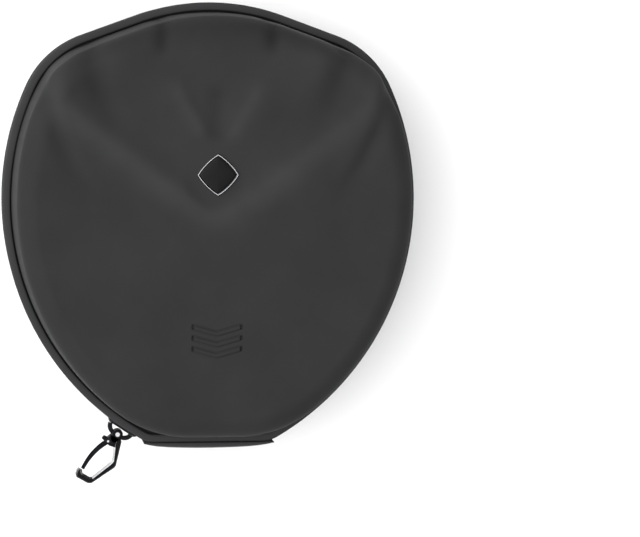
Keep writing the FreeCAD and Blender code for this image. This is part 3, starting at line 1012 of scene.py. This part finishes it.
def build_badge():
    """Thin bevelled bezel round a gloss diamond; the face carries no mark."""
    low, high = corners("badge_bezel")
    centre = (low + high) / 2
    half = (high.x - low.x) / 2
    base, top, shoulder = low.z - BADGE_SINK, high.z, high.z - BEZEL_SLOPE
    levels = [(half, base), (half, shoulder)] + [(half - inset, top) for inset in BEZEL_FLAT]
    levels += [(half - BEZEL_WIDTH, shoulder), (half - BEZEL_WIDTH, base)]
    bezel = diamond_stack("badge_rim", levels, centre, "badge_chrome", solid=False)
    shade(bezel, smooth=False)
    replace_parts(bezel, "badge_bezel")
    fill = half - BEZEL_WIDTH - INSERT_GAP
    fill_top = corners("badge_insert")[1].z
    levels = [(fill, base), (fill, fill_top - INSERT_EDGE)]
    levels += [(fill * share, fill_top - INSERT_CROWN * share ** 3) for share in INSERT_SHARES]
    insert = diamond_stack("badge_face", levels, centre, "badge_black", solid=True)
    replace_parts(insert, "badge_insert")


# ---------------------------------------------------------------- slider, puller and clip

# Sizes in this section are millimetres, in slider coordinates: along the zip, inwards and up
OUTER_CHAMFER_FALL = 0.8
FINE_EDGE = 25.0


def slider_frame():
    """Matrix from slider coordinates, as metres, to the row frame."""
    along = Vector((-outward.y, outward.x, 0.0))
    origin = arc_centre + outward * SIDE_RADIUS
    return Matrix(((along.x, -outward.x, 0, origin.x), (along.y, -outward.y, 0, origin.y),
                   (0, 0, 1, parting_z), (0, 0, 0, 1)))


SLIDER = slider_frame()
EYE_REACH = ((eye - arc_centre).length - SIDE_RADIUS) / MM


def placed(levels):
    """Points of (loop, height) levels, moved from slider coordinates to the row frame."""
    return [tuple(SLIDER @ (Vector((x, y, z)) * MM)) for loop, z in levels for x, y in loop]


def prism(name, loop, z0, z1, look, body):
    """Prism from a loop of points between two heights."""
    return make_mesh(name, placed([(loop, z0), (loop, z1)]), stack_faces(2, len(loop)), look, body)


def washer(name, outer, inner, z0, z1, look, body, slot=None):
    """Flat ring between two loops and two heights."""
    verts = placed([(outer, z0), (outer, z1), (inner, z1), (inner, z0)])
    return make_mesh(name, verts, grid_faces(4, len(outer), wrap_rows=True), look, body)


def offset_loop(loop, centre, amount):
    """Move each point of a loop towards a centre, square to its neighbours."""
    moved = []
    for k, (x, y) in enumerate(loop):
        ax, ay = loop[max(k - 1, 0)]
        bx, by = loop[min(k + 1, len(loop) - 1)]
        size = math.hypot(bx - ax, by - ay)
        nx, ny = (by - ay) / size, -(bx - ax) / size
        if (centre[0] - x) * nx + (centre[1] - y) * ny < 0:
            nx, ny = -nx, -ny
        moved.append((x + nx * amount, y + ny * amount))
    return moved


def faceted_bar(name, outer, inner, half_thick, chamfers, finishes, body):
    """Open link between two edges, with an outer and an inner chamfer in their own finishes."""
    count = len(outer)
    centre = tuple(np.mean(np.array(inner), axis=0))
    out_chamfer, in_chamfer = chamfers
    top_outer = offset_loop(outer, centre, out_chamfer)
    top_inner = offset_loop(inner, centre, -in_chamfer)
    out_edge, in_edge = half_thick - out_chamfer * OUTER_CHAMFER_FALL, half_thick - in_chamfer
    levels = [(outer, -out_edge), (outer, out_edge), (top_outer, half_thick), (top_inner, half_thick),
              (inner, in_edge), (inner, -in_edge), (top_inner, -half_thick), (top_outer, -half_thick)]
    faces = grid_faces(len(levels), count, wrap_rows=True, wrap_columns=False)
    first = [row * count for row in range(len(levels))]
    faces += [first, [start + count - 1 for start in reversed(first)]]
    piece = make_mesh(name, placed(levels), faces, finishes[0], body)
    for look in finishes[1:]:
        piece.data.materials.append(MATERIALS[look])
    outside, flat, inside = range(3)
    by_row = [outside, outside, flat, inside, inside, inside, flat, outside]
    finish = [index for index in by_row for _ in range(count - 1)]
    piece.data.polygons.foreach_set("material_index", finish + [flat, flat])
    shade(piece, smooth=False)
    return piece


def on_clip(points):
    """Clip points, (away from the eye, towards the spine), in slider coordinates."""
    return [(across, -EYE_REACH - along) for along, across in points]


SLIDER_HALF = 7.5
SLIDER_WIDE = 4.3
SLIDER_PLATE = 1.5
PLATE_SHIELD = [(-7.5, -2.9), (-6.3, -4.3), (2.0, -4.3), (6.3, -3.3), (7.5, -2.4)]
PLATE_ROUND = 0.25

# Levels of the plate's shield: share of the plate's thickness, outwards, and share of the full size
PLATE_LEVELS = [(0.0, 1.0), (0.6, 1.0), (1.0, 0.9)]

# Blocks of the slider behind its plate: ranges along the zip, inwards and up
SLIDER_BLOCKS = {
    "slider_flange": ((0.6 - SLIDER_HALF, SLIDER_HALF - 0.6), (-0.1, 1.3), (-SLIDER_WIDE, 0.6 - SLIDER_WIDE)),
    "slider_post": ((2.0, 5.0), (-0.2, 3.0), (-0.1, 0.1)),
    "slider_inner_plate": ((1.0 - SLIDER_HALF, SLIDER_HALF - 1.0), (2.9, 3.7), (-SLIDER_WIDE, 0.1)),
}
BLOCK_ROUND = 0.12


def build_slider():
    """Zip slider: tapered outer plate with grips and bail, back flange, post and inner plate."""
    shield = PLATE_SHIELD + [(x, -z) for x, z in reversed(PLATE_SHIELD)]
    verts = []
    for share, size in PLATE_LEVELS:
        y = -SLIDER_PLATE * share
        verts += [tuple(SLIDER @ (Vector((x * size, y, z * size)) * MM)) for x, z in shield]
    faces = stack_faces(len(PLATE_LEVELS), len(shield))
    outer = make_mesh("slider_plate", verts, faces, "slider_metal", "slider")
    bevel(outer, PLATE_ROUND * MM)
    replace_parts(outer, "slider_body")
    for name, ((x0, x1), (y0, y1), (z0, z1)) in SLIDER_BLOCKS.items():
        loop = [(x0, y0), (x1, y0), (x1, y1), (x0, y1)]
        block = prism(name, loop, z0, z1, "slider_metal", "slider")
        bevel(block, min(BLOCK_ROUND, (z1 - z0) / 3) * MM)
    build_grips()
    build_bail()


GRIP_COUNT = 4
GRIP_PITCH = 0.75
GRIP_FROM_END = 1.2
GRIP_HALF = 0.20
GRIP_FOOT_HALF = 0.26
GRIP_PROUD = 0.25
GRIP_SINK = 0.1
GRIP_REACH = 2.1
GRIP_ROUND = 0.06


def build_grips():
    """Raised ribs across both ends of the slider's plate."""
    crest, foot = -SLIDER_PLATE - GRIP_PROUD, -SLIDER_PLATE + GRIP_SINK
    for end, side in ((-1, "rear"), (1, "front")):
        for k in range(GRIP_COUNT):
            x = end * (SLIDER_HALF - GRIP_FROM_END - GRIP_PITCH * k)
            loop = [(x - GRIP_HALF, crest), (x + GRIP_HALF, crest),
                    (x + GRIP_FOOT_HALF, foot), (x - GRIP_FOOT_HALF, foot)]
            name = "slider_grip_%s_%d" % (side, k)
            rib = prism(name, loop, -GRIP_REACH, GRIP_REACH, "slider_metal", "slider")
            bevel(rib, GRIP_ROUND * MM, segments=1)


BAIL_OUTER = (6.6, 6.4, 5.3)
BAIL_INNER = (4.6, 4.4, 3.4)
BAIL_FOOT = 0.9
BAIL_SQUARE = 0.85
BAIL_TIP = math.radians(12.0)
BAIL_STEPS = 30
BAIL_HALF = 0.95
BAIL_CHAMFERS = (0.4, 0.4)
BAIL_ROUND = 0.12


def bail_curve(reach):
    """Squarish half loop that reaches a way past the free tip, past the foot and outwards."""
    tip_side, foot_side, out = reach
    curve = []
    for angle in np.linspace(BAIL_TIP, math.pi, BAIL_STEPS):
        across = -math.cos(angle)
        x = (tip_side if across < 0 else foot_side) * math.copysign(abs(across) ** BAIL_SQUARE, across)
        curve.append((x, -BAIL_FOOT - out * max(math.sin(angle), 0.0) ** BAIL_SQUARE))
    return curve


def build_bail():
    """Hooked bail that springs from one end of the plate; the clip's eye hangs on its crest."""
    bail = faceted_bar("slider_bail", bail_curve(BAIL_OUTER), bail_curve(BAIL_INNER), BAIL_HALF,
                       BAIL_CHAMFERS, ("slider_metal",) * 3, "slider")
    bevel(bail, BAIL_ROUND * MM, angle=FINE_EDGE)
    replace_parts(bail, "slider_lug")


# Outlines of the clip's parts: away from the eye, towards the spine
LINK_OUTER = [(1.0, 2.1), (1.6, 3.3), (12.2, 7.4), (13.6, 7.3), (25.0, 2.6), (25.9, 1.2), (26.4, -4.6),
              (25.6, -5.8), (23.6, -6.3), (22.3, -6.0)]
LINK_INNER = [(3.2, 0.6), (4.6, 1.0), (11.4, 4.6), (12.3, 4.4), (22.6, 1.0), (23.1, 0.3), (23.3, -3.2),
              (23.0, -3.7), (22.6, -4.0), (22.3, -4.1)]
NECK = [(1.2, 2.2), (1.7, 3.3), (4.8, 4.5), (5.6, 2.2), (6.3, -0.4), (6.0, -2.9), (4.8, -3.3), (1.6, -2.4)]
THUMB_LEVER = [(5.9, -2.4), (5.5, -5.0), (3.8, -4.8), (3.4, -2.4)]
GATE_OUTER = ((4.4, -3.4), (12.5, -7.2), (21.8, -5.7))
GATE_INNER = ((5.4, -0.6), (12.5, -4.5), (21.8, -3.6))

LINK_HALF = 2.3
LINK_CHAMFERS = (0.6, 0.9)
LINK_ROUND = 0.15
LINK_EDGE = 20.0
EYE_OUTER = 2.4
EYE_NOSE = 1.9
EYE_INNER = 1.05
EYE_STEPS = 32
EYE_ROUND = 0.18
CHEEK = (1.2, 2.25)
NECK_ROUND = 0.2
GATE_HALF = 0.95
GATE_CHAMFERS = (0.35, 0.12)
GATE_STEPS = 12
GATE_ROUND = 0.08
BOSS_OUTER = 1.5
BOSS_INNER = 0.55
BOSS_STEPS = 24
BOSS_ROUND = 0.1
LEVER_ROUND = 0.3


def bezier(start, painted_shading_fac, end):
    """Points on a quadratic curve."""
    points = []
    for t in np.linspace(0, 1, GATE_STEPS + 1):
        points.append(tuple((1 - t) ** 2 * a + 2 * t * (1 - t) * b + t * t * c
                            for a, b, c in zip(start, painted_shading_fac, end)))
    return points


def build_clip():
    """Snap clip: eye, neck, spine and thick faceted foot; the sprung gate closes the open side."""
    # The bright inner chamfers are a painted reflection of the pale floor
    link = faceted_bar("clip_link", on_clip(LINK_OUTER), on_clip(LINK_INNER), LINK_HALF, LINK_CHAMFERS,
                       ("clip_metal", "gate_metal", "clip_bright"), "puller")
    bevel(link, LINK_ROUND * MM, angle=LINK_EDGE)
    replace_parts(link, "clip_frame")
    for side, end in ((-1, "lower"), (1, "upper")):
        build_eye(end, side)
    build_gate()


def build_eye(end, side):
    """One cheek of the forked eye, with the neck that joins it to the spine and the gate's pivot."""
    z0, z1 = sorted(side * height for height in CHEEK)
    outer = []
    for c, s in circle(EYE_STEPS):
        reach = EYE_OUTER + EYE_NOSE * max(0.0, c) ** 3
        outer.append((reach * c, reach * s))
    inner = on_clip(circle(EYE_STEPS, EYE_INNER))
    cheek = washer("clip_eye_" + end, on_clip(outer), inner, z0, z1, "gate_metal", "puller", "clip_metal")
    bevel(cheek, EYE_ROUND * MM)
    neck = prism("clip_neck_" + end, on_clip(NECK), z0, z1, "gate_metal", "puller")
    bevel(neck, NECK_ROUND * MM)


def build_gate():
    """Curved sprung gate and its thumb lever, turning together on the gate pin."""
    outer, inner = on_clip(bezier(*GATE_OUTER)), on_clip(bezier(*GATE_INNER))
    # The gate's bright outer chamfer is a painted reflection
    gate = faceted_bar("clip_gate_arm", outer, inner, GATE_HALF, GATE_CHAMFERS,
                       ("clip_bright", "gate_metal", "gate_metal"), "gate")
    bevel(gate, GATE_ROUND * MM, angle=FINE_EDGE)
    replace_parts(gate, "clip_gate")
    pivot = (SLIDER.inverted() @ gate_pivot) / MM
    rings = [[(pivot.x + x, pivot.y + y) for x, y in circle(BOSS_STEPS, radius)]
             for radius in (BOSS_OUTER, BOSS_INNER)]
    boss = washer("clip_gate_boss", *rings, -GATE_HALF, GATE_HALF, "gate_metal", "gate")
    bevel(boss, BOSS_ROUND * MM)
    thumb = prism("clip_thumb_lever", on_clip(THUMB_LEVER), -GATE_HALF, GATE_HALF, "gate_metal", "gate")
    bevel(thumb, LEVER_ROUND * MM, segments=3)


# ---------------------------------------------------------------- lid pocket

NET_PITCH = 3.6 * MM
NET_STRAND = 0.45 * MM
NET_SAG = 2.2 * MM
ELASTIC_WIDE = 1.45 * MM
ELASTIC_TALL = 0.8 * MM
ELASTIC_STEPS = 300
ELASTIC_SIDES = 12
GATHER = 0.1
GATHER_PITCH = 3.2 * MM


def pocket_edge(half_width):
    """Directions and distances, from the middle, of the lining's outline scaled to a half width."""
    points, normals, _ = outline(AROUND, shell=True)
    edge = points - normals * (SHELL_INSET + LINING[1])
    edge *= half_width / edge[:, 0].max()
    return np.arctan2(edge[:, 1], edge[:, 0]), np.hypot(edge[:, 0], edge[:, 1])


def build_pocket():
    """Open hexagonal net across the lower part of the lid, sagging a little in its middle."""
    low, high = corners("lid_pocket_net")
    directions, distances = pocket_edge(high.x)

    def within(x, y):
        limit = np.interp(math.atan2(y, x), directions, distances, period=math.tau)
        return y < high.y and math.hypot(x, y) < limit - NET_STRAND

    row_pitch = NET_PITCH * math.sqrt(3) / 2
    seen, verts, faces = {}, [], []
    for r in range(int((high.y - low.y) / row_pitch) + 1):
        for c in range(int((high.x - low.x) / NET_PITCH) + 1):
            cx = low.x + NET_PITCH * (c + 0.5 * (r % 2))
            cy = low.y + row_pitch * r
            ring = [(cx + x, cy + y) for y, x in circle(6, NET_PITCH / math.sqrt(3))]
            if not all(within(x, y) for x, y in ring):
                continue
            cell = []
            for x, y in ring:
                key = (round(x / MM, 1), round(y / MM, 1))
                if key not in seen:
                    seen[key] = len(verts)
                    up = (y - low.y) / (high.y - low.y)
                    sag = NET_SAG * math.sin(math.pi * up) * (1 - (x / high.x) ** 2)
                    verts.append((x, y, (low.z + high.z) / 2 - sag))
                cell.append(seen[key])
            faces.append(cell)
    net = make_mesh("pocket_net", verts, faces, "pocket_mesh", "lid")
    shade(net, smooth=False)
    wire = net.modifiers.new("strands", "WIREFRAME")
    wire.thickness = NET_STRAND
    wire.use_replace = True
    apply_modifiers(net)
    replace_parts(net, "lid_pocket_net")


def build_elastic():
    """Gathered elastic band along the pocket's open edge."""
    low, high = corners("lid_pocket_elastic")
    centre_y, centre_z = (low.y + high.y) / 2, (low.z + high.z) / 2
    ring = circle(ELASTIC_SIDES)
    verts = []
    for x in np.linspace(low.x, high.x, ELASTIC_STEPS + 1):
        gather = 1 + GATHER * math.sin(math.tau * x / GATHER_PITCH)
        verts += [(x, centre_y + ELASTIC_WIDE * c * gather, centre_z + ELASTIC_TALL * s * gather)
                  for c, s in ring]
    uvs = [(x, y + z) for x, y, z in verts]
    faces = stack_faces(ELASTIC_STEPS + 1, ELASTIC_SIDES)
    band = make_mesh("pocket_elastic_band", verts, faces, "pocket_elastic", "lid", uvs=uvs)
    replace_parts(band, "lid_pocket_elastic")


# ---------------------------------------------------------------- stage, light and camera

FLOOR_HALF = 8.0
FLOOR_GAP = 0.2 * MM
FLOOR_TONE = 0.95


def build_stage():
    floor_z = cad_box[0][2] - FLOOR_GAP
    ends = [(-1, -1), (1, -1), (1, 1), (-1, 1)]
    mesh = bpy.data.meshes.new("floor")
    mesh.from_pydata([(FLOOR_HALF * x, FLOOR_HALF * y, floor_z) for x, y in ends], [], [range(4)])
    floor = bpy.data.objects.new("floor", mesh)
    bpy.context.scene.collection.objects.link(floor)
    material, _, shader = new_material("pale_floor", 0.9, specular=0.0)
    shader.inputs["Base Color"].default_value = (FLOOR_TONE, FLOOR_TONE, FLOOR_TONE, 1)
    mesh.materials.append(material)


LIGHT_FROM = Vector((-0.50, 0.10, 0.86)).normalized()
SKY_BASE = 0.47
SKY_GLOW = 4.0
SKY_POWER = 4.0


def build_light():
    """A studio dome, evenly dim, with a wide soft glow from high up on the left."""
    world = bpy.data.worlds.new("studio")
    world.use_nodes = True
    tree = world.node_tree
    facing = add_node(tree, "ShaderNodeVectorMath", operation="DOT_PRODUCT",
                      vector=coordinates(tree, "Generated"))
    facing.inputs[1].default_value = LIGHT_FROM
    lit = math_node(tree, "MAXIMUM", facing.outputs["Value"], 0.0)
    glow = math_node(tree, "MULTIPLY", math_node(tree, "POWER", lit, SKY_POWER), SKY_GLOW)
    strength = math_node(tree, "ADD", glow, SKY_BASE)
    connect(tree, tree.nodes["Background"], color=(1, 1, 1, 1), strength=strength)
    bpy.context.scene.world = world
    bpy.context.scene.view_settings.view_transform = "Standard"


CAMERA_DISTANCE = 1.1
CAMERA_YAW = 6.0
CAMERA_TILT = 4.0
CAMERA_ROLL = 0.2
PICTURE_WIDTH = 0.2871
CASE_LEFT = 0.1720
CASE_ABOVE = 0.0651


def build_camera():
    """Almost straight down on the front, from a little to the left and above the crown."""
    data = bpy.data.cameras.new("camera")
    camera = bpy.data.objects.new("camera", data)
    bpy.context.scene.collection.objects.link(camera)
    hinge_y = corners("front_hinge_leaf")[0].y
    target = Vector((0, (crown_y + hinge_y) / 2, rim_high.z))
    back = Vector((-math.sin(math.radians(CAMERA_YAW)), math.sin(math.radians(CAMERA_TILT)), 1)).normalized()
    right = Vector((0, 1, 0)).cross(back).normalized()
    turn = Matrix((right, back.cross(right), back)).transposed().to_4x4()
    roll = Matrix.Rotation(math.radians(CAMERA_ROLL), 4, "Z")
    camera.matrix_world = Matrix.Translation(target + back * CAMERA_DISTANCE) @ turn @ roll
    data.lens = data.sensor_width * CAMERA_DISTANCE / PICTURE_WIDTH
    data.shift_x = CASE_LEFT
    data.shift_y = -CASE_ABOVE
    bpy.context.scene.camera = camera


dress_cad_nodes()
build_shells()
build_rim()
build_hinge()
build_badge()
build_slider()
build_clip()
build_pocket()
build_elastic()
build_stage()
build_light()
build_camera()
